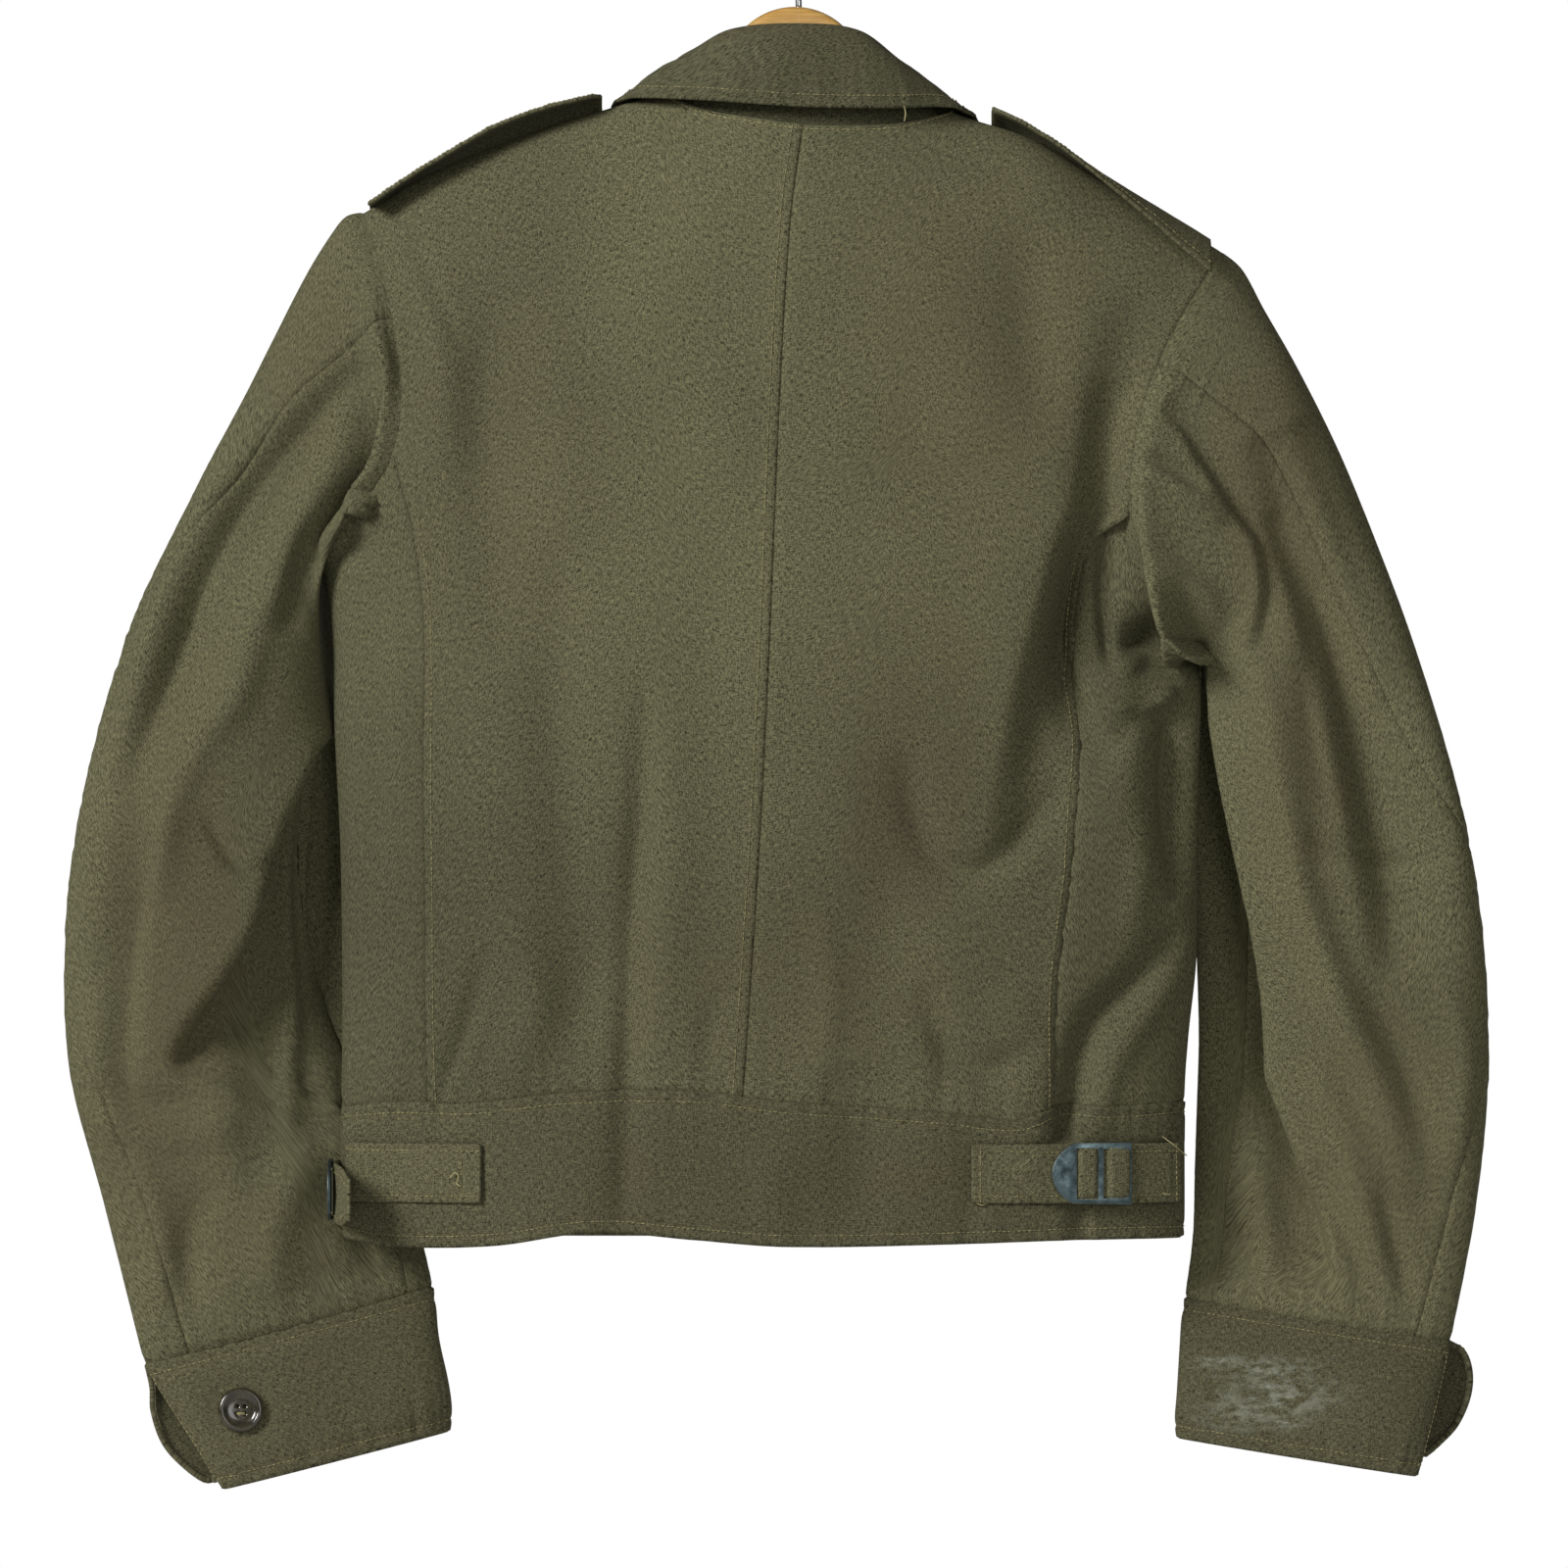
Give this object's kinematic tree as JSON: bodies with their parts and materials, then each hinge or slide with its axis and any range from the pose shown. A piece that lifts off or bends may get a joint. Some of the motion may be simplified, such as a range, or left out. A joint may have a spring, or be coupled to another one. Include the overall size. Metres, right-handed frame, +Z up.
{
  "type": "ike jacket on a coat hanger",
  "caption": "Waist-length wool service jacket with band hem, waist tabs with slide buckles and shoulder loops, hung flat on a wooden hanger.",
  "frame": {"origin": "inside of the hook's crown, where it bears on the rail", "axes": "+Z up, -Y the jacket's back, +Y its front, +X the wearer's right"},
  "size_m": [0.7285, 0.111, 0.8222],
  "materials": {
    "wool": "heathered olive wool serge, faded brown in places",
    "button": "dark olive-brown plastic",
    "buckle": "blued steel, worn at the edges",
    "wood": "varnished beech",
    "steel": "plated steel wire"
  },
  "bodies": {
    "root": {"back_left": "wool", "back_right": "wool", "side_left": "wool", "side_right": "wool", "front_left": "wool", "front_right": "wool", "waistband_back": "wool", "waistband_front_left": "wool", "waistband_front_right": "wool", "sleeve_top_left": "wool", "sleeve_top_right": "wool", "sleeve_under_left": "wool", "sleeve_under_right": "wool", "cuff_left": "wool", "cuff_right": "wool", "lapel_left": "wool", "lapel_right": "wool", "pocket_left": "wool", "pocket_right": "wool", "pocket_flap_left": "wool", "pocket_flap_right": "wool", "shoulder_loop_left": "wool", "shoulder_loop_right": "wool", "cuff_button_left": "button", "collar": "wool", "tab_strap_right": "wool", "tab_tongue_right": "wool", "tab_strap_left": "wool", "tab_tongue_left": "wool", "buckle_left": "buckle", "buckle_right": "buckle", "hanger_left": "wood", "hanger_right": "wood", "hook": "steel"}
  },
  "joints": []
}
